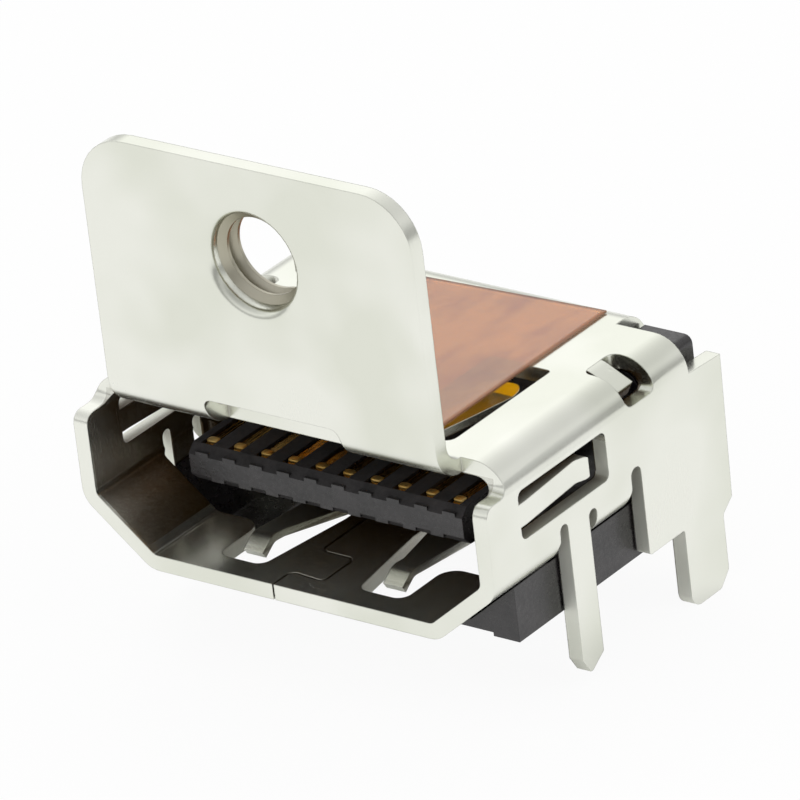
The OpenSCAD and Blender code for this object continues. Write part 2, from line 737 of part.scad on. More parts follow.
// Pocket at the rear that holds the contacts' tails, open to the board
module tail_pocket() block(
    [-row_half - tail_pitch, pocket_y, board_z - over],
    [row_half + tail_pitch, post_len + over, tongue_top]);

// Tongue that carries the contacts into the mouth
module tongue() along_x(-tongue_half, tongue_half) polygon([
    [tongue_y, tongue_z + tongue_bevel], [tongue_y + tongue_bevel, tongue_z], [block_y + over, tongue_z],
    [block_y + over, tongue_top], [tongue_y + tongue_bevel, tongue_top], [tongue_y, tongue_top - tongue_bevel]
]);

// Tooth that carries the tongue's front face over its bevel, before the tip of a contact
module tongue_tooth(i) {
    x = row_half - (i - 1) * tail_pitch;
    middle = tongue_z + tongue_t / 2;
    end = i % 2 == 1 ? tongue_top - tooth_drop : tongue_z + tooth_drop;
    block(
        [x - tooth_w / 2, tongue_y, min(middle, end)],
        [x + tooth_w / 2, tongue_y + tongue_bevel, max(middle, end)]);
}

// Rail on the board beside the floor, shaped to the slanted lower corner
module side_rail() {
    edge = grown(mouth, sheet_t + seat_gap);
    a = edge[1];
    b = edge[2];
    inner = block_half - rail_w;
    outer_z = a[1] + (b[1] - a[1]) * (block_half - a[0]) / (b[0] - a[0]);
    foot = block_half - foot_w;
    lift = board_z + foot_h;
    along_y(rail_y, block_y + over) polygon([
        [inner, lift], [foot, lift], [foot, board_z], [block_half, board_z], [block_half, outer_z],
        a, [inner, a[1]]
    ]);
    block([inner - step_w, step_y, lift], [inner, block_y + over, a[1]]);
}

// Moulded housing: rear block, tongue and two rails
module housing() color("dimgray") in_frame() difference() {
    union() {
        rear_block();
        tongue();
        for (i = [1:contact_count]) tongue_tooth(i);
        both_sides() side_rail();
    }
    for (i = [1:contact_count]) contact_slot(i);
}

// Film on the roof that a pick-and-place nozzle grips
module pickup_film() color("peru") in_frame() along_z(roof_z, roof_z + film_t) polygon([
    [-film_w / 2, film_y], [film_w / 2, film_y], [film_w / 2, film_end], [-film_w / 2, film_end - film_skew]
]);

shell();
housing();
pickup_film();
for (i = [1:contact_count])
    contact(i);
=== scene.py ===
"""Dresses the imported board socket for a 19-way digital video plug and sets it in a white studio.

The solids come from the frame and keep their places. This script smooths their bends, gives each
one its finish, adds the thread in the flange's screw hole and the contacts' noses, and lays the film
on the roof.
"""

import logging
import math
from collections.abc import Sequence
from dataclasses import dataclass, field
from enum import Enum
from typing import Any

import bmesh
import bpy
from mathutils import Matrix, Vector, noise


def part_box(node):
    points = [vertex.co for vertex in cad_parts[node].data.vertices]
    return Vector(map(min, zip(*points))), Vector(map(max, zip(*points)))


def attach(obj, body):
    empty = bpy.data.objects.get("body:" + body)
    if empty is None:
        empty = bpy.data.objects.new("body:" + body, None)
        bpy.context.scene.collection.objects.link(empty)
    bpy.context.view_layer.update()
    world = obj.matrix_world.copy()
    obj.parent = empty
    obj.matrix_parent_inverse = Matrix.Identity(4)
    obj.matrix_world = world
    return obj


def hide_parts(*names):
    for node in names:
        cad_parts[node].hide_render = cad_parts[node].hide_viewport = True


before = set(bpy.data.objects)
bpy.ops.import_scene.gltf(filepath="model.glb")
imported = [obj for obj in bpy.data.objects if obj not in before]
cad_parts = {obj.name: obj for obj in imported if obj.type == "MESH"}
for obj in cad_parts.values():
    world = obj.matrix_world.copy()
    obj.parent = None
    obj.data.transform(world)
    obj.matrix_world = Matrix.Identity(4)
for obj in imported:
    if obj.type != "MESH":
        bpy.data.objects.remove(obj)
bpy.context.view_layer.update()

LOG = logging.getLogger("socket_scene")
MM = 0.001
BODY = "root"
# An edge that turns by fewer degrees than this is a bend, and is shaded smoothly.
BEND_LIMIT = 32.0
# Facets that lie within this many degrees of each other become one flat, and points this close become one.
FLAT_LIMIT = 0.5
WELD_MM = 0.0005
# Rays that look for a nearby edge, and for nearby walls.
EDGE_RAYS = 6
SHELTER_RAYS = 8
# Noise mostly stays in this span, and each of its octaves has this share of the one before.
NOISE_SPAN = (0.3, 0.7)
NOISE_FALLOFF = 0.55

Point = tuple[float, float, float]
Box = tuple[Point, Point]
Span = tuple[float, float]
Tree = bpy.types.NodeTree
Node = bpy.types.Node
Socket = bpy.types.NodeSocket

# The space round the tongue.
TONGUE_MM: Box = ((-5.2, -6.2, 2.3), (5.2, -1.5, 3.8))
# Parts of the shell as they stand once the signs of a place are dropped, so that each one holds on both
# sides and counts its y forwards: the mouth's side walls and floor, where shade is painted deeper, and the
# side walls' thickness.
MOUTH_WALL_MM: Box = ((5.3, 0.0, 0.9), (7.03, 7.9, 5.5))
MOUTH_FLOOR_MM: Box = ((-1.0, 2.0, 0.86), (7.03, 7.97, 0.98))
SIDE_WALL_MM: Box = ((7.04, 0.0, -2.6), (7.55, 7.95, 4.6))


class Slot(Enum):
    """The record's material slots."""

    SHEET = "plated_sheet"
    MOULDING = "moulding"
    FILM = "film"
    CONTACT = "contact_strip"


class Softbox(Enum):
    """The studio's lamps."""

    KEY = "key_softbox"
    FRONT = "front_softbox"
    RIGHT = "right_softbox"


def linear(code: str) -> tuple[float, float, float, float]:
    """Turns an sRGB hex colour into linear RGBA.

    Args:
        code: six hex digits, such as "E6E7E2".

    Returns:
        Red, green, blue and an alpha of 1, in linear light.
    """
    parts = [int(code[i:i + 2], 16) / 255 for i in (0, 2, 4)]
    red, green, blue = (c / 12.92 if c <= 0.04045 else ((c + 0.055) / 1.055) ** 2.4 for c in parts)
    return red, green, blue, 1.0


def grey(level: float) -> tuple[float, float, float, float]:
    """Gives a neutral linear colour."""
    return level, level, level, 1.0


def per_mm(size_mm: float) -> float:
    """Gives the texture scale, in a frame of metres, at which one feature is size_mm wide."""
    return 1.0 / (size_mm * MM)


def add(tree: Tree, kind: str, inputs: dict[Any, Any] | None = None,
        stops: list[tuple[float, Any]] | None = None, **settings: Any) -> Node:
    """Adds one node, with its settings, values and links.

    Args:
        tree: the node tree to add it to.
        kind: Blender's name for the kind of node.
        inputs: socket name or index to a value, or to the output socket that feeds it.
        stops: position and colour of each stop, for a node with a colour ramp.
        **settings: attributes of the node itself.

    Returns:
        The new node.
    """
    node = tree.nodes.new(kind)
    for name, value in settings.items():
        setattr(node, name, value)
    for key, value in (inputs or {}).items():
        if isinstance(value, Socket):
            tree.links.new(value, node.inputs[key])
        else:
            node.inputs[key].default_value = value
    for i, (position, colour) in enumerate(stops or []):
        elements = node.color_ramp.elements
        if i >= len(elements):
            elements.new(position)
        elements[i].position = position
        elements[i].color = colour
    return node


def stretched(tree: Tree, place: Socket, size_mm: Sequence[float],
              middle_mm: Sequence[float] | None = None) -> Socket:
    """Counts a place in units of a given size.

    Args:
        tree: the node tree to add to.
        place: the place, in metres.
        size_mm: the length of one unit along each axis, in millimetres.
        middle_mm: where to count from, in millimetres, if not from the origin.

    Returns:
        The place in those units.
    """
    if middle_mm is not None:
        inputs = {0: place, 1: Vector(middle_mm) * MM}
        place = add(tree, "ShaderNodeVectorMath", inputs, operation="SUBTRACT").outputs["Vector"]
    inputs = {0: place, 1: [per_mm(side) for side in size_mm]}
    return add(tree, "ShaderNodeVectorMath", inputs, operation="MULTIPLY").outputs["Vector"]


@dataclass(frozen=True)
class Layer:
    """One layer of noise on a surface.

    Args:
        size_mm: width, depth and height of one of its patches.
        octaves: how many finer noises lie on it.
        depth_mm: depth of its relief, if it has any.
        strength: how much of that relief shows.
    """

    size_mm: Point
    octaves: float
    depth_mm: float = 0.0
    strength: float = 0.0


@dataclass(frozen=True)
class Finish:
    """One material: what the real one is, and how its surface was made.

    Args:
        name: the material's common name and process.
        tone: its main colour, sRGB hex.
        shade: the colour of its darker patches, sRGB hex.
        metallic: 1 for a metal, 0 otherwise.
        roughness: its middle roughness.
        spread: how far the roughness wanders either way.
        edge_mm: radius that tumbling, plating or the mould leaves on its edges.
    """

    name: str
    tone: str
    shade: str
    metallic: float
    roughness: float
    spread: float
    edge_mm: float

    def material(self) -> bpy.types.Material:
        """Builds the material.

        Returns:
            The new Blender material.
        """
        made = bpy.data.materials.new(self.name)
        made.use_nodes = True
        tree = made.node_tree
        tree.nodes.clear()
        place = add(tree, "ShaderNodeTexCoord").outputs["Object"]
        inputs = {"Radius": self.edge_mm * MM}
        edge = add(tree, "ShaderNodeBevel", inputs, samples=EDGE_RAYS).outputs["Normal"]
        shader = add(tree, "ShaderNodeBsdfPrincipled", {"Metallic": self.metallic})
        self.paint(tree, place, edge, shader)
        output = add(tree, "ShaderNodeOutputMaterial", {"Surface": shader.outputs["BSDF"]})
        self.fill(tree, output)
        return made

    def paint(self, tree: Tree, place: Socket, edge: Socket, shader: Node) -> None:
        """Adds the finish's own pattern.

        Args:
            tree: the material's node tree.
            place: object coordinates, in metres.
            edge: the surface's direction with its edges rounded off.
            shader: the surface shader to feed.
        """
        raise NotImplementedError

    def fill(self, tree: Tree, output: Node) -> None:
        """Adds what lies under the surface; most finishes have nothing there."""

    def clouds(self, tree: Tree, place: Socket, layer: Layer) -> Socket:
        """Adds a layer's noise.

        Args:
            tree: the material's node tree.
            place: object coordinates, in metres.
            layer: the size of its patches, and how much finer noise they carry.

        Returns:
            The noise, from 0 to 1.
        """
        inputs = {"Vector": stretched(tree, place, layer.size_mm), "Scale": 1.0,
                  "Detail": layer.octaves, "Roughness": NOISE_FALLOFF}
        return add(tree, "ShaderNodeTexNoise", inputs).outputs["Fac"]

    def inside(self, tree: Tree, place: Socket, box: Box) -> Socket:
        """Tells whether a place lies in a box.

        Args:
            tree: the material's node tree.
            place: the place, in metres.
            box: the box's lowest and highest corners, in millimetres.

        Returns:
            1 inside the box and 0 outside it.
        """
        low, high = Vector(box[0]), Vector(box[1])
        scaled = stretched(tree, place, (high - low) / 2, (low + high) / 2)
        apart = add(tree, "ShaderNodeVectorMath", {0: scaled}, operation="ABSOLUTE").outputs["Vector"]
        axes = add(tree, "ShaderNodeSeparateXYZ", {0: apart}).outputs
        most = axes["X"]
        for axis in ("Y", "Z"):
            inputs = {0: most, 1: axes[axis]}
            most = add(tree, "ShaderNodeMath", inputs, operation="MAXIMUM").outputs["Value"]
        return add(tree, "ShaderNodeMath", {0: most, 1: 1.0}, operation="LESS_THAN").outputs["Value"]

    def tint(self, tree: Tree, source: Socket, span: Span) -> Socket:
        """Lets the colour follow a noise, from the darker shade to the main tone over a span of it."""
        stops = [(span[0], linear(self.shade)), (span[1], linear(self.tone))]
        return add(tree, "ShaderNodeValToRGB", {"Fac": source}, stops).outputs["Color"]

    def gloss(self, tree: Tree, source: Socket, shader: Node) -> None:
        """Lets the roughness follow a noise, round its middle value and past it where the noise goes on."""
        inputs = {"Value": source, "From Min": NOISE_SPAN[0], "From Max": NOISE_SPAN[1],
                  "To Min": self.roughness - self.spread, "To Max": self.roughness + self.spread}
        rough = add(tree, "ShaderNodeMapRange", inputs, clamp=False)
        tree.links.new(rough.outputs["Result"], shader.inputs["Roughness"])

    def relief(self, tree: Tree, layers: list[tuple[Socket, Layer]], edge: Socket, shader: Node) -> None:
        """Lays fine relief on the rounded surface.

        Args:
            tree: the material's node tree.
            layers: the height of each layer, and how deep it is.
            edge: the surface's direction with its edges rounded off.
            shader: the surface shader to feed.
        """
        normal = edge
        for height, layer in layers:
            inputs = {"Height": height, "Distance": layer.depth_mm * MM, "Strength": layer.strength,
                      "Normal": normal}
            normal = add(tree, "ShaderNodeBump", inputs).outputs["Normal"]
        tree.links.new(normal, shader.inputs["Normal"])


@dataclass(frozen=True)
class PlatedSteel(Finish):
    """Nickel plating over stamped steel sheet, or the bare steel where it was tapped.

    The plating gives the eye a pale, faintly warm satin metal, with soft clouds where it was handled,
    rolling grain up the sheet and a few short scratches. Inside the folds, shade is painted into it: a
    dark brown, less metallic colour where the walls shelter it. Sheared edges are duller than the sheet's
    faces.

    Args:
        painted_shade_tone: the colour painted as shade where the folds shelter the plating, sRGB hex.
        shaded_metallic: how much of the plating still mirrors in that painted shade.
        reach_mm: how far apart two walls may stand and still shelter each other.
        sheltered: how open a place is where the painted shade is full, and where it ends.
        extra_shade_wall: how much more sheltered the mouth's side walls count as.
        extra_shade_floor: how much more sheltered its floor counts as.
        sheared: how much is added on sheared edges to the noise that the roughness follows.
        cut_facing: a face in a side wall that looks less far outward than this was sheared.
        patches: the noise at which the colour is all shade, and all tone.
        cloud: the clouds left by handling.
        grain: the rolling grain; a few micrometres wide on real sheet, drawn at 0.05 mm so that it shows.
        pebble: the plating's own pebble.
        scratch: the cells that hold one scratch each.
        scratch_wide: where a scratch's bottom ends and its rim begins, as parts of a cell.
    """

    painted_shade_tone: str = "45300F"
    shaded_metallic: float = 0.6
    reach_mm: float = 12.0
    sheltered: Span = (0.14, 0.5)
    extra_shade_wall: float = 0.38
    extra_shade_floor: float = 0.12
    sheared: float = 1.6
    cut_facing: float = 0.6
    patches: Span = (0.38, 0.62)
    cloud: Layer = Layer((4.5, 4.5, 4.5), 2.0)
    grain: Layer = Layer((0.05, 0.05, 1.6), 2.0, 0.004, 0.03)
    pebble: Layer = Layer((0.25, 0.25, 0.25), 2.0, 0.01, 0.05)
    scratch: Layer = Layer((1.6, 1.6, 7.0), 0.0, 0.012, 0.4)
    scratch_wide: Span = (0.012, 0.045)

    def paint(self, tree: Tree, place: Socket, edge: Socket, shader: Node) -> None:
        """Adds clouds in colour and gloss, painted shade in the folds, rolling grain, a plated pebble and
        scratches.
        """
        folded = add(tree, "ShaderNodeVectorMath", {0: place}, operation="ABSOLUTE").outputs["Vector"]
        cloud = self.clouds(tree, place, self.cloud)
        # Shade is painted into the colour here: dark brown and less metallic where the folds shelter the
        # plating.
        self.paint_fold_shade(tree, folded, self.tint(tree, cloud, self.patches), shader)
        grain = self.clouds(tree, place, self.grain)
        both = add(tree, "ShaderNodeMath", {0: cloud, 1: grain}, operation="ADD").outputs["Value"]
        mean = add(tree, "ShaderNodeMath", {0: both, 1: 0.5}, operation="MULTIPLY").outputs["Value"]
        inputs = {0: self.cut_edges(tree, folded), 1: self.sheared, 2: mean}
        dull = add(tree, "ShaderNodeMath", inputs, operation="MULTIPLY_ADD").outputs["Value"]
        self.gloss(tree, dull, shader)
        pebble = self.clouds(tree, place, self.pebble)
        layers = [(grain, self.grain), (pebble, self.pebble), (self.scratches(tree, place), self.scratch)]
        self.relief(tree, layers, edge, shader)

    def paint_fold_shade(self, tree: Tree, folded: Socket, outer: Socket, shader: Node) -> None:
        """Paints shade on the plating where the folds shelter it, as a dark brown, less metallic colour.

        Args:
            tree: the material's node tree.
            folded: the place with its signs dropped, in metres.
            outer: the plating's colour in the open.
            shader: the surface shader to feed.
        """
        inputs = {"Distance": self.reach_mm * MM}
        shelter = add(tree, "ShaderNodeAmbientOcclusion", inputs, samples=SHELTER_RAYS, only_local=True)
        openness = shelter.outputs["AO"]
        # The mouth's side walls and floor count as more sheltered, so the painted shade is deeper there.
        for box, extra_shade in ((MOUTH_WALL_MM, self.extra_shade_wall), (MOUTH_FLOOR_MM, self.extra_shade_floor)):
            inputs = {0: self.inside(tree, folded, box), 1: -extra_shade, 2: openness}
            openness = add(tree, "ShaderNodeMath", inputs, operation="MULTIPLY_ADD").outputs["Value"]
        inputs = {"Value": openness, "From Min": self.sheltered[0], "From Max": self.sheltered[1]}
        unshaded = add(tree, "ShaderNodeMapRange", inputs).outputs["Result"]
        # Sockets 6 and 7 of a mix node take its two colours, and socket 2 gives the mixed one.
        inputs = {0: unshaded, 6: linear(self.painted_shade_tone), 7: outer}
        mixed = add(tree, "ShaderNodeMix", inputs, data_type="RGBA")
        tree.links.new(mixed.outputs[2], shader.inputs["Base Color"])
        inputs = {"Value": unshaded, "To Min": self.shaded_metallic, "To Max": self.metallic}
        metal = add(tree, "ShaderNodeMapRange", inputs).outputs["Result"]
        tree.links.new(metal, shader.inputs["Metallic"])

    def cut_edges(self, tree: Tree, folded: Socket) -> Socket:
        """Finds the sheared edges of the side walls.

        Args:
            tree: the material's node tree.
            folded: the place with its signs dropped, in metres.

        Returns:
            1 on a sheared edge and 0 elsewhere.
        """
        facing = add(tree, "ShaderNodeNewGeometry").outputs["Normal"]
        sideways = add(tree, "ShaderNodeSeparateXYZ", {0: facing}).outputs["X"]
        outward = add(tree, "ShaderNodeMath", {0: sideways}, operation="ABSOLUTE").outputs["Value"]
        inputs = {0: outward, 1: self.cut_facing}
        turned = add(tree, "ShaderNodeMath", inputs, operation="LESS_THAN").outputs["Value"]
        inputs = {0: turned, 1: self.inside(tree, folded, SIDE_WALL_MM)}
        return add(tree, "ShaderNodeMath", inputs, operation="MULTIPLY").outputs["Value"]

    def scratches(self, tree: Tree, place: Socket) -> Socket:
        """Gives the surface's height, lowered in a short scratch within each cell."""
        cells = stretched(tree, place, self.scratch.size_mm)
        spot = add(tree, "ShaderNodeTexVoronoi", {"Vector": cells, "Scale": 1.0}).outputs["Distance"]
        inputs = {"Value": spot, "From Min": self.scratch_wide[0], "From Max": self.scratch_wide[1]}
        return add(tree, "ShaderNodeMapRange", inputs).outputs["Result"]


@dataclass(frozen=True)
class MouldedPolymer(Finish):
    """Glass-filled liquid-crystal polymer, moulded.

    The moulding gives the eye a near-black, half-matt plastic with pale flow marks, fibre speckle and a
    fine uneven skin that breaks up its highlights. The tongue's faces that plugs slide over are scuffed
    dull.

    Args:
        ior: its refractive index.
        scuff: how much is added on scuffed faces to the noise that the roughness follows.
        level: how far up or down a face looks where scuffing starts, and where it is full.
        patches: the noise at which the colour is all shade, and all tone.
        flow: the flow marks.
        speckle: fibre ends; about 0.01 mm wide in reality, drawn as patches of gloss so that they show.
        skin: the uneven skin that the mould leaves.
    """

    ior: float = 1.6
    scuff: float = 1.4
    level: Span = (0.25, 0.5)
    patches: Span = (0.36, 0.66)
    flow: Layer = Layer((0.8, 0.8, 0.8), 5.0)
    speckle: Layer = Layer((0.14, 0.14, 0.14), 3.0)
    skin: Layer = Layer((0.3, 0.16, 0.12), 4.0, 0.03, 0.4)

    def paint(self, tree: Tree, place: Socket, edge: Socket, shader: Node) -> None:
        """Adds flow marks, fibre speckle and the moulded skin."""
        shader.inputs["IOR"].default_value = self.ior
        flow = self.clouds(tree, place, self.flow)
        tree.links.new(self.tint(tree, flow, self.patches), shader.inputs["Base Color"])
        speckle = self.clouds(tree, place, self.speckle)
        inputs = {0: self.scuffed(tree, place), 1: self.scuff, 2: speckle}
        dull = add(tree, "ShaderNodeMath", inputs, operation="MULTIPLY_ADD").outputs["Value"]
        self.gloss(tree, dull, shader)
        self.relief(tree, [(self.clouds(tree, place, self.skin), self.skin)], edge, shader)

    def scuffed(self, tree: Tree, place: Socket) -> Socket:
        """Finds the tongue's upper and lower faces.

        Args:
            tree: the material's node tree.
            place: object coordinates, in metres.

        Returns:
            1 on those faces, falling to 0 on steeper ones.
        """
        facing = add(tree, "ShaderNodeNewGeometry").outputs["Normal"]
        upward = add(tree, "ShaderNodeSeparateXYZ", {0: facing}).outputs["Z"]
        either = add(tree, "ShaderNodeMath", {0: upward}, operation="ABSOLUTE").outputs["Value"]
        inputs = {"Value": either, "From Min": self.level[0], "From Max": self.level[1]}
        flat = add(tree, "ShaderNodeMapRange", inputs).outputs["Result"]
        inputs = {0: flat, 1: self.inside(tree, place, TONGUE_MM)}
        return add(tree, "ShaderNodeMath", inputs, operation="MULTIPLY").outputs["Value"]


@dataclass(frozen=True)
class GoldPlate(Finish):
    """Gold flash over nickel on stamped copper alloy.

    The plating gives the eye a warm bright metal with drawn streaks along the strip and browner patches
    where the flash is thin. On the noses it is duller where plugs wear it, and paler as a painted highlight.

    Args:
        patches: the noise at which the colour is all shade, and all tone.
        cloud: the uneven thickness of the flash.
        streak: the drawn streaks along the strip.
    """

    patches: Span = (0.36, 0.64)
    cloud: Layer = Layer((0.7, 0.7, 0.7), 3.0)
    streak: Layer = Layer((0.04, 1.2, 1.2), 2.0, 0.004, 0.1)

    def paint(self, tree: Tree, place: Socket, edge: Socket, shader: Node) -> None:
        """Adds uneven plating colour and fine streaks along the strip."""
        cloud = self.clouds(tree, place, self.cloud)
        tree.links.new(self.tint(tree, cloud, self.patches), shader.inputs["Base Color"])
        streak = self.clouds(tree, place, self.streak)
        self.gloss(tree, streak, shader)
        self.relief(tree, [(streak, self.streak)], edge, shader)


@dataclass(frozen=True)
class PolyimideFilm(Finish):
    """Polyimide film with its adhesive, cast and slit.

    The film gives the eye a slightly hazy amber that is yellow over white, orange-brown over metal and
    dark along its slit edges, under a smooth gloss with long faint ripples.

    Args:
        ior: its refractive index.
        clear: how much of the light goes into the film; the haze throws the rest back.
        amber: the colour that the film lets through, sRGB hex.
        density: how much light a metre of it takes in.
        patches: the noise at which the colour is all shade, and all tone.
        streak: streaks of uneven adhesive.
        haze: the fine haze in its gloss.
    """

    ior: float = 1.7
    clear: float = 0.68
    amber: str = "FEFD00"
    density: float = 7.8e4
    patches: Span = (0.33, 0.55)
    streak: Layer = Layer((1.3, 2.6, 2.6), 4.0, 0.03, 0.15)
    haze: Layer = Layer((0.5, 0.5, 0.5), 3.0)

    def paint(self, tree: Tree, place: Socket, edge: Socket, shader: Node) -> None:
        """Adds streaks of uneven adhesive, a fine haze and gentle ripples."""
        shader.inputs["IOR"].default_value = self.ior
        shader.inputs["Transmission Weight"].default_value = self.clear
        streak = self.clouds(tree, place, self.streak)
        tree.links.new(self.tint(tree, streak, self.patches), shader.inputs["Base Color"])
        self.gloss(tree, self.clouds(tree, place, self.haze), shader)
        self.relief(tree, [(streak, self.streak)], edge, shader)

    def fill(self, tree: Tree, output: Node) -> None:
        """Takes in blue and green light along the way through a clear film."""
        if not self.clear:
            return
        inputs = {"Color": linear(self.amber), "Density": self.density}
        absorb = add(tree, "ShaderNodeVolumeAbsorption", inputs)
        tree.links.new(absorb.outputs["Volume"], output.inputs["Volume"])


NICKEL = PlatedSteel("nickel_plated_stamped_steel", tone="EBECE3", shade="DFE1D5",
                     metallic=1.0, roughness=0.24, spread=0.04, edge_mm=0.05)
# The thread's painted shade, where the hole shelters it, is a mid grey.
TAPPED = PlatedSteel("tapped_bare_steel", tone="CBC7B8", shade="A9A593",
                     metallic=1.0, roughness=0.36, spread=0.08, edge_mm=0.03, painted_shade_tone="9A9484")
POLYMER = MouldedPolymer("moulded_liquid_crystal_polymer", tone="2B2829", shade="191718",
                         metallic=0.0, roughness=0.31, spread=0.08, edge_mm=0.03)
GOLD = GoldPlate("gold_plated_copper_alloy", tone="D6AE60", shade="AE8240",
                 metallic=1.0, roughness=0.24, spread=0.06, edge_mm=0.04)
# The noses' gold is rougher where plugs wear it, and paler as a painted highlight.
WORN_AND_HIGHLIT_GOLD = GoldPlate("worn_gold_with_painted_highlight", tone="E2C27C", shade="C9A055",
                        metallic=1.0, roughness=0.5, spread=0.06, edge_mm=0.03)
FILM = PolyimideFilm("cast_polyimide_film", tone="F0B48A", shade="D99E84",
                     metallic=0.0, roughness=0.12, spread=0.05, edge_mm=0.01)
FILM_EDGE = PolyimideFilm("slit_polyimide_edge", tone="5C2A0E", shade="3E1B08",
                          metallic=0.0, roughness=0.7, spread=0.1, edge_mm=0.01, clear=0.0)


def smooth_group(limit: float) -> Tree:
    """Builds the modifier that shades smoothly across edges flatter than a limit.

    Args:
        limit: the angle, in degrees, from which an edge stays sharp.

    Returns:
        The geometry node group.
    """
    tree = bpy.data.node_groups.new("smooth_across_bends", "GeometryNodeTree")
    tree.interface.new_socket("Geometry", in_out="INPUT", socket_type="NodeSocketGeometry")
    tree.interface.new_socket("Geometry", in_out="OUTPUT", socket_type="NodeSocketGeometry")
    start = add(tree, "NodeGroupInput").outputs["Geometry"]
    angle = add(tree, "GeometryNodeInputMeshEdgeAngle").outputs["Unsigned Angle"]
    inputs = {"A": angle, "B": math.radians(limit)}
    sharp = add(tree, "FunctionNodeCompare", inputs, operation="GREATER_THAN")
    inputs = {"Geometry": start, "Shade Smooth": True}
    faces = add(tree, "GeometryNodeSetShadeSmooth", inputs, domain="FACE")
    inputs = {"Geometry": faces.outputs["Geometry"], "Selection": sharp.outputs["Result"],
              "Shade Smooth": False}
    edges = add(tree, "GeometryNodeSetShadeSmooth", inputs, domain="EDGE")
    add(tree, "NodeGroupOutput", {"Geometry": edges.outputs["Geometry"]})
    return tree


def smooth_bends(obj: bpy.types.Object, smooth: Tree) -> None:
    """Joins a solid's facets into whole flats and shades its bends smoothly, by modifiers.

    Args:
        obj: the mesh object.
        smooth: the node group that shades smoothly across bends.
    """
    weld = obj.modifiers.new("join_faces", "WELD")
    weld.merge_threshold = WELD_MM * MM
    flat = obj.modifiers.new("whole_flats", "DECIMATE")
    flat.decimate_type = "DISSOLVE"
    flat.angle_limit = math.radians(FLAT_LIMIT)
    shade = obj.modifiers.new("smooth_across_bends", "NODES")
    shade.node_group = smooth
    normals = obj.modifiers.new("flat_faces", "WEIGHTED_NORMAL")
    normals.keep_sharp = True


def dress(obj: bpy.types.Object, *materials: bpy.types.Material) -> None:
    """Gives an object its materials in place of whatever it has."""
    obj.data.materials.clear()
    for material in materials:
        obj.data.materials.append(material)


def new_piece(name: str, mesh: bmesh.types.BMesh, slot: Slot,
              *materials: bpy.types.Material) -> bpy.types.Object:
    """Makes a riding piece from a mesh that is already in the row frame.

    Args:
        name: the piece's name.
        mesh: its mesh, in metres; it is freed.
        slot: the record's slot for its finish; not used.
        *materials: its materials, in the order of the faces' numbers.

    Returns:
        The new object.
    """
    data = bpy.data.meshes.new(name)
    bmesh.ops.recalc_face_normals(mesh, faces=mesh.faces)
    mesh.to_mesh(data)
    mesh.free()
    obj = bpy.data.objects.new(name, data)
    bpy.context.scene.collection.objects.link(obj)
    dress(obj, *materials)
    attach(obj, BODY)
    LOG.info("piece %s: %d faces", name, len(data.polygons))
    return obj


@dataclass
class Shell:
    """The folded shell and the thread in its flange.

    Args:
        material: the plated sheet's material.
        tapped: the cut thread's material.
        smooth: the node group that shades smoothly across bends.
        hole_z_mm: height of the screw hole above the board.
        hole_front_mm: depth of the flange's front face.
        root_r_mm: radius of the thread's root, sunk just into the hole's wall.
        crest_r_mm: radius of the thread's crest.
        pitch_mm: rise of the thread in one turn.
        thread_start_mm: depth of the first thread behind the front face.
        thread_len_mm: length of the threaded stretch.
        bore_end_mm: depth at which the thread is cut off, just inside the hole's far end.
        root_half: half of the ridge's width at its root, in pitches.
        crest_half: half of its width at its crest, in pitches.
        least_rise: part of the ridge's height that is left at its very ends.
        steps: points in one turn of the thread.
        runout_steps: points over which each end runs out.
    """

    material: bpy.types.Material
    tapped: bpy.types.Material
    smooth: Tree
    hole_z_mm: float = 11.37
    hole_front_mm: float = -8.0
    root_r_mm: float = 1.505
    crest_r_mm: float = 1.27
    pitch_mm: float = 0.5
    thread_start_mm: float = 0.38
    thread_len_mm: float = 0.98
    bore_end_mm: float = 1.38
    root_half: float = 0.46
    crest_half: float = 0.1
    least_rise: float = 0.02
    steps: int = 72
    runout_steps: int = 12

    def build(self) -> None:
        """Dresses the sheet and cuts the thread."""
        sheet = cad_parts["shell"]
        dress(sheet, self.material)
        smooth_bends(sheet, self.smooth)
        LOG.info("dressed shell")
        self.thread()

    def thread(self) -> bpy.types.Object:
        """Builds the screw thread as one helical ridge that runs out at both ends.

        Returns:
            The thread's object.
        """
        count = round(self.thread_len_mm / self.pitch_mm * self.steps)
        rise = self.root_r_mm - self.crest_r_mm
        bore_end = self.hole_front_mm + self.bore_end_mm
        mesh = bmesh.new()
        rings = []
        for i in range(count + 1):
            angle = 2 * math.pi * i / self.steps
            depth = self.hole_front_mm + self.thread_start_mm + self.pitch_mm * i / self.steps
            fade = max(self.least_rise, min(1.0, i / self.runout_steps, (count - i) / self.runout_steps))
            crest = self.root_r_mm - rise * fade
            profile = [(self.root_r_mm, -self.root_half), (crest, -self.crest_half),
                       (crest, self.crest_half), (self.root_r_mm, self.root_half)]
            ring = []
            for radius, offset in profile:
                across, up = radius * math.cos(angle), radius * math.sin(angle)
                along = min(depth + offset * self.pitch_mm, bore_end)
                ring.append(mesh.verts.new(Vector((across, along, self.hole_z_mm + up)) * MM))
            rings.append(ring)
        for one, two in zip(rings, rings[1:]):
            for k in range(len(one)):
                mesh.faces.new((one[k], one[(k + 1) % len(one)], two[(k + 1) % len(two)], two[k]))
        mesh.faces.new(rings[0])
        mesh.faces.new(list(reversed(rings[-1])))
        obj = new_piece("screw_thread", mesh, Slot.SHEET, self.tapped)
        shade = obj.modifiers.new("smooth_across_bends", "NODES")
        shade.node_group = self.smooth
        return obj


@dataclass
class Housing:
    """The moulded block, tongue and rails.

    Args:
        material: the moulding's material.
        smooth: the node group that shades smoothly across bends.
    """

    material: bpy.types.Material
    smooth: Tree

    def build(self) -> None:
        """Dresses the moulding."""
        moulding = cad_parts["housing"]
        dress(moulding, self.material)
        smooth_bends(moulding, self.smooth)
        LOG.info("dressed housing")


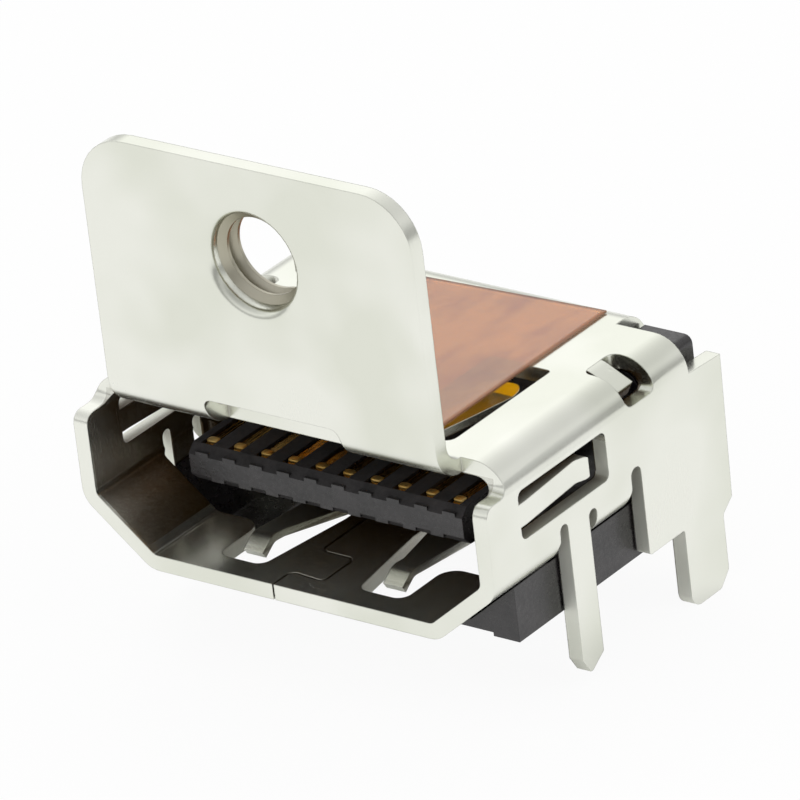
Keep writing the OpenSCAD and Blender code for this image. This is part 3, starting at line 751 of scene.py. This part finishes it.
@dataclass
class Contacts:
    """The two rows of stamped contacts, and the noses pressed up in the upper row.

    Args:
        material: the contacts' material.
        nose_wear_and_highlight: the material of the noses, duller where plugs wear them and paler as a
            painted highlight.
        smooth: the node group that shades smoothly across bends.
        nose_mm: half of a nose's width, depth and height.
        nose_back_mm: how far a nose's middle lies behind the contact's front edge.
        nose_rise_mm: how far it lies above the contact's upper face.
        corner: how square a nose is, 2 for an egg and more for a brick.
        rings: rings of points round a nose.
        steps: points in one ring.
    """

    material: bpy.types.Material
    nose_wear_and_highlight: bpy.types.Material
    smooth: Tree
    nose_mm: Point = (0.2, 0.15, 0.08)
    nose_back_mm: float = 0.32
    nose_rise_mm: float = 0.03
    corner: float = 3.0
    rings: int = 18
    steps: int = 32

    def build(self) -> None:
        """Dresses every contact and adds the noses."""
        names = sorted(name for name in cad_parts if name.startswith("contact_"))
        for name in names:
            dress(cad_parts[name], self.material)
            smooth_bends(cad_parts[name], self.smooth)
        LOG.info("dressed %d contacts", len(names))
        self.noses(names[::2])

    def noses(self, names: list[str]) -> bpy.types.Object:
        """Builds the rounded noses near the upper contacts' front edges, which the plug rides up on.

        Args:
            names: the upper contacts' nodes.

        Returns:
            The noses' object.
        """
        mesh = bmesh.new()
        for name in names:
            low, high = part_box(name)
            self.nose(mesh, Vector(((low.x + high.x) / 2, low.y, high.z)))
        obj = new_piece("contact_noses", mesh, Slot.CONTACT, self.nose_wear_and_highlight)
        for face in obj.data.polygons:
            face.use_smooth = True
        return obj

    def nose(self, mesh: bmesh.types.BMesh, tip: Vector) -> None:
        """Adds one rounded brick.

        Args:
            mesh: the mesh that it joins.
            tip: the middle of the contact's front edge, on its upper face.
        """
        middle = tip + Vector((0.0, self.nose_back_mm, self.nose_rise_mm)) * MM
        power = 2.0 / self.corner
        loops = []
        for i in range(1, self.rings):
            across = math.cos(math.pi * i / self.rings)
            around = math.sin(math.pi * i / self.rings)
            loop = []
            for k in range(self.steps):
                angle = 2 * math.pi * k / self.steps
                parts = (across, around * math.cos(angle), around * math.sin(angle))
                offset = [math.copysign(abs(part) ** power, part) * half
                          for part, half in zip(parts, self.nose_mm)]
                loop.append(mesh.verts.new(middle + Vector(offset) * MM))
            loops.append(loop)
        for one, two in zip(loops, loops[1:]):
            for k in range(self.steps):
                j = (k + 1) % self.steps
                mesh.faces.new((one[k], one[j], two[j], two[k]))
        mesh.faces.new(loops[0])
        mesh.faces.new(list(reversed(loops[-1])))


@dataclass
class Film:
    """The pick-up film on the roof, laid with slight ripples.

    Args:
        face: the material of the film's two faces.
        edge: the material of its slit edges.
        lift_mm: gap that the adhesive leaves over the roof.
        thick_mm: thickness of the film.
        ripple_mm: depth of the ripples in its upper face.
        ripple_size_mm: length of one ripple.
        ripple_wide: how many times as wide as long a ripple is.
        across: squares from left to right.
        along: squares from front to rear.
    """

    face: bpy.types.Material
    edge: bpy.types.Material
    lift_mm: float = 0.004
    thick_mm: float = 0.075
    ripple_mm: float = 0.008
    ripple_size_mm: float = 3.0
    ripple_wide: float = 2.0
    across: int = 60
    along: int = 64

    def build(self) -> bpy.types.Object:
        """Lays the film as a closed thin sheet in place of the plain one.

        Returns:
            The film's object.
        """
        low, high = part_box("pickup_film")
        corners = self.outline(low, high)
        mesh = bmesh.new()
        layers = []
        for top in (False, True):
            grid = []
            for v in range(self.along + 1):
                row = [self.point(corners, u / self.across, v / self.along, low.z, top)
                       for u in range(self.across + 1)]
                grid.append([mesh.verts.new(where) for where in row])
            layers.append(grid)
        for grid in layers:
            for v in range(self.along):
                for u in range(self.across):
                    square = (grid[v][u], grid[v][u + 1], grid[v + 1][u + 1], grid[v + 1][u])
                    mesh.faces.new(square).smooth = True
        loops = [self.border(grid) for grid in layers]
        for i in range(len(loops[0])):
            j = (i + 1) % len(loops[0])
            mesh.faces.new((loops[0][i], loops[0][j], loops[1][j], loops[1][i])).material_index = 1
        obj = new_piece("film_sheet", mesh, Slot.FILM, self.face, self.edge)
        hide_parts("pickup_film")
        return obj

    def outline(self, low: Vector, high: Vector) -> list[Vector]:
        """Finds the film's four corners, the rear left one cut back.

        Args:
            low: lowest corner of the film's box.
            high: highest corner of the film's box.

        Returns:
            Front left, front right, rear right and rear left corners.
        """
        left_rear = max(v.co.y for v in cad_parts["pickup_film"].data.vertices if v.co.x < 0)
        places = ((low.x, low.y), (high.x, low.y), (high.x, high.y), (low.x, left_rear))
        return [Vector(place) for place in places]

    def point(self, corners: list[Vector], u: float, v: float, roof: float, top: bool) -> Vector:
        """Places one point of the sheet.

        Args:
            corners: the film's four corners.
            u: place from left to right, 0 to 1.
            v: place from front to rear, 0 to 1.
            roof: height of the roof, in metres.
            top: whether the point is on the upper face.

        Returns:
            The point in the row frame.
        """
        flat = corners[0].lerp(corners[1], u).lerp(corners[3].lerp(corners[2], u), v)
        base = roof + self.lift_mm * MM
        if not top:
            return Vector((flat.x, flat.y, base))
        where = Vector((flat.x / self.ripple_wide, flat.y, 0.0)) / (self.ripple_size_mm * MM)
        ripple = 0.5 + 0.5 * noise.noise(where)
        return Vector((flat.x, flat.y, base + (self.thick_mm - ripple * self.ripple_mm) * MM))

    @staticmethod
    def border(grid: list[list[Any]]) -> list[Any]:
        """Lists the points round a grid's border, in order."""
        right, left = [row[-1] for row in grid[1:]], [row[0] for row in grid[-2:0:-1]]
        return grid[0] + right + grid[-1][-2::-1] + left


@dataclass
class Studio:
    """A white table, soft light and the camera.

    Args:
        camera_mm: the camera's place.
        right: the camera's right-hand direction.
        up: the camera's upward direction.
        lens_px: focal length in pixels of an image 800 pixels wide.
        image_px: width of that image.
        sensor_mm: width of the camera's sensor.
        clip_mm: nearest and furthest distance that it sees.
        floor_mm: height of the table.
        floor_radius_mm: radius of the table.
        floor_sides: sides of its rim.
        floor_grey: how much light its top throws back.
        floor_white: how much of its look is plain white rather than lit, which sets how faint its shadow is.
        foot_middle_mm: middle of the patch of table under the socket, which metal sees as it is lit.
        foot_mm: half of that patch's width and depth, and a height past which it makes no difference.
        foot_fade: where the patch begins to fade out and where it ends, in halves of its size.
        ambient: brightness of the room to matt surfaces.
        room: brightness of the room to glossy surfaces, by height from -1 to 1.
        room_front: part of that brightness that the camera's side of the room has.
        front_turn: directions in y from which that side fades out and at which it ends.
        room_right: part of it that the room's right-hand side has.
        right_turn: directions in x from which that side begins and at which it is full.
        lamps: place, side and power of each softbox, in millimetres and watts.
        aim_mm: the place that the softboxes face.
    """

    camera_mm: Point = (165.246, -201.591, 130.953)
    right: Point = (0.79803, 0.59300, -0.10724)
    up: Point = (-0.18622, 0.41193, 0.89199)
    lens_px: float = 9890.0
    image_px: float = 800.0
    sensor_mm: float = 36.0
    clip_mm: Span = (10.0, 10000.0)
    floor_mm: float = -2.45
    floor_radius_mm: float = 2500.0
    floor_sides: int = 96
    floor_grey: float = 0.85
    floor_white: float = 0.93
    foot_middle_mm: Point = (0.0, -1.7, -2.45)
    foot_mm: Point = (7.5, 6.3, 100.0)
    foot_fade: Span = (0.9, 1.3)
    ambient: float = 0.8
    room: tuple[Span, ...] = (
        (-1.0, 0.6), (0.0, 0.6), (0.2, 0.7), (0.34, 1.16), (0.44, 1.34), (0.7, 1.0), (1.0, 0.8))
    room_front: float = 0.75
    front_turn: Span = (-0.35, 0.25)
    room_right: float = 0.66
    right_turn: Span = (-0.35, 0.4)
    lamps: dict[Softbox, tuple[Point, float, float]] = field(default_factory=lambda: {
        Softbox.KEY: ((-160.0, 190.0, 260.0), 200.0, 0.2),
        Softbox.FRONT: ((-150.0, -260.0, 150.0), 220.0, 0.15),
        Softbox.RIGHT: ((280.0, 40.0, 160.0), 160.0, 0.2),
    })
    aim_mm: Point = (0.0, -2.0, 4.0)

    def build(self) -> None:
        """Sets up the whole studio."""
        scene = bpy.context.scene
        scene.view_settings.view_transform = "Standard"
        self.camera(scene)
        self.world(scene)
        self.floor()
        for box, (place, size, power) in self.lamps.items():
            self.lamp(box, place, size, power)

    def camera(self, scene: bpy.types.Scene) -> None:
        """Adds the camera at the photograph's viewing angle."""
        data = bpy.data.cameras.new("camera")
        data.sensor_fit = "HORIZONTAL"
        data.sensor_width = self.sensor_mm
        data.lens = self.lens_px / self.image_px * self.sensor_mm
        data.clip_start, data.clip_end = (distance * MM for distance in self.clip_mm)
        right, up = Vector(self.right), Vector(self.up)
        turn = Matrix((right, up, right.cross(up))).transposed().to_4x4()
        obj = bpy.data.objects.new("camera", data)
        obj.matrix_world = Matrix.Translation(Vector(self.camera_mm) * MM) @ turn
        scene.collection.objects.link(obj)
        scene.camera = obj

    def world(self, scene: bpy.types.Scene) -> None:
        """Makes the room: white to the camera, even to matt surfaces and shaded to glossy ones."""
        world = bpy.data.worlds.new("white_room")
        scene.world = world
        world.use_nodes = True
        world.cycles.sampling_method = "NONE"
        tree = world.node_tree
        tree.nodes.clear()
        direction = add(tree, "ShaderNodeTexCoord").outputs["Generated"]
        axes = add(tree, "ShaderNodeSeparateXYZ", {0: direction}).outputs
        height = add(tree, "ShaderNodeMapRange", {"Value": axes["Z"], "From Min": -1.0, "From Max": 1.0})
        # The ramp holds half of each level, because a ramp's colours end at 1.
        stops = [((z + 1) / 2, grey(level / 2)) for z, level in self.room]
        shade = add(tree, "ShaderNodeValToRGB", {"Fac": height.outputs["Result"]}, stops)
        inputs = {"Value": axes["Y"], "From Min": self.front_turn[0], "From Max": self.front_turn[1],
                  "To Min": 2 * self.room_front, "To Max": 2.0}
        level = add(tree, "ShaderNodeMapRange", inputs)
        inputs = {"Value": axes["X"], "From Min": self.right_turn[0], "From Max": self.right_turn[1],
                  "To Min": 1.0, "To Max": self.room_right}
        side = add(tree, "ShaderNodeMapRange", inputs)
        inputs = {0: level.outputs["Result"], 1: side.outputs["Result"]}
        strength = add(tree, "ShaderNodeMath", inputs, operation="MULTIPLY")
        inputs = {"Color": shade.outputs["Color"], "Strength": strength.outputs["Value"]}
        around = add(tree, "ShaderNodeBackground", inputs)
        even = add(tree, "ShaderNodeBackground", {"Color": grey(1.0), "Strength": self.ambient})
        white = add(tree, "ShaderNodeBackground", {"Color": grey(1.0), "Strength": 1.0})
        path = add(tree, "ShaderNodeLightPath").outputs
        inputs = {0: path["Is Glossy Ray"], 1: even.outputs["Background"], 2: around.outputs["Background"]}
        lit = add(tree, "ShaderNodeMixShader", inputs)
        inputs = {0: path["Is Camera Ray"], 1: path["Is Transmission Ray"]}
        seen = add(tree, "ShaderNodeMath", inputs, operation="MAXIMUM")
        inputs = {0: seen.outputs["Value"], 1: lit.outputs["Shader"], 2: white.outputs["Background"]}
        both = add(tree, "ShaderNodeMixShader", inputs)
        add(tree, "ShaderNodeOutputWorld", {"Surface": both.outputs["Shader"]})

    def floor(self) -> None:
        """Lays a pale table that keeps a faint shadow."""
        mesh = bmesh.new()
        bmesh.ops.create_circle(mesh, cap_ends=True, radius=self.floor_radius_mm * MM,
                                segments=self.floor_sides)
        data = bpy.data.meshes.new("table")
        mesh.to_mesh(data)
        mesh.free()
        obj = bpy.data.objects.new("table", data)
        obj.location.z = self.floor_mm * MM
        bpy.context.scene.collection.objects.link(obj)
        made = bpy.data.materials.new("white_laminate")
        made.use_nodes = True
        made.cycles.emission_sampling = "NONE"
        tree = made.node_tree
        tree.nodes.clear()
        matt = add(tree, "ShaderNodeBsdfDiffuse", {"Color": grey(self.floor_grey)})
        glow = add(tree, "ShaderNodeEmission", {"Color": grey(1.0), "Strength": 1.0})
        path = add(tree, "ShaderNodeLightPath").outputs
        place = add(tree, "ShaderNodeNewGeometry").outputs["Position"]
        scaled = stretched(tree, place, self.foot_mm, self.foot_middle_mm)
        away = add(tree, "ShaderNodeVectorMath", {0: scaled}, operation="LENGTH").outputs["Value"]
        inputs = {"Value": away, "From Min": self.foot_fade[0], "From Max": self.foot_fade[1]}
        clear = add(tree, "ShaderNodeMapRange", inputs)
        inputs = {0: path["Is Glossy Ray"], 1: clear.outputs["Result"]}
        seen = add(tree, "ShaderNodeMath", inputs, operation="MULTIPLY").outputs["Value"]
        for kind in ("Is Camera Ray", "Is Transmission Ray"):
            seen = add(tree, "ShaderNodeMath", {0: seen, 1: path[kind]}, operation="MAXIMUM").outputs["Value"]
        share = add(tree, "ShaderNodeMath", {0: seen, 1: self.floor_white}, operation="MULTIPLY")
        inputs = {0: share.outputs["Value"], 1: matt.outputs["BSDF"], 2: glow.outputs["Emission"]}
        both = add(tree, "ShaderNodeMixShader", inputs)
        add(tree, "ShaderNodeOutputMaterial", {"Surface": both.outputs["Shader"]})
        dress(obj, made)

    def lamp(self, box: Softbox, place: Point, size: float, power: float) -> None:
        """Adds one softbox, aimed at the socket.

        Metal mirrors the room alone, which keeps its bends free of hot lines.

        Args:
            box: which softbox it is.
            place: where it stands, in millimetres.
            size: the length of its side, in millimetres.
            power: its power in watts.
        """
        data = bpy.data.lights.new(box.value, "AREA")
        data.size = size * MM
        data.energy = power
        obj = bpy.data.objects.new(box.value, data)
        obj.location = Vector(place) * MM
        aim = Vector(self.aim_mm) * MM - obj.location
        obj.rotation_euler = aim.to_track_quat("-Z", "Y").to_euler()
        obj.visible_glossy = False
        bpy.context.scene.collection.objects.link(obj)


def main() -> None:
    """Builds the studio and every sub-assembly in order."""
    logging.basicConfig(level=logging.INFO)
    smooth = smooth_group(BEND_LIMIT)
    Studio().build()
    Shell(NICKEL.material(), TAPPED.material(), smooth).build()
    Housing(POLYMER.material(), smooth).build()
    Contacts(GOLD.material(), WORN_AND_HIGHLIT_GOLD.material(), smooth).build()
    Film(FILM.material(), FILM_EDGE.material()).build()


if __name__ == "__main__":
    main()
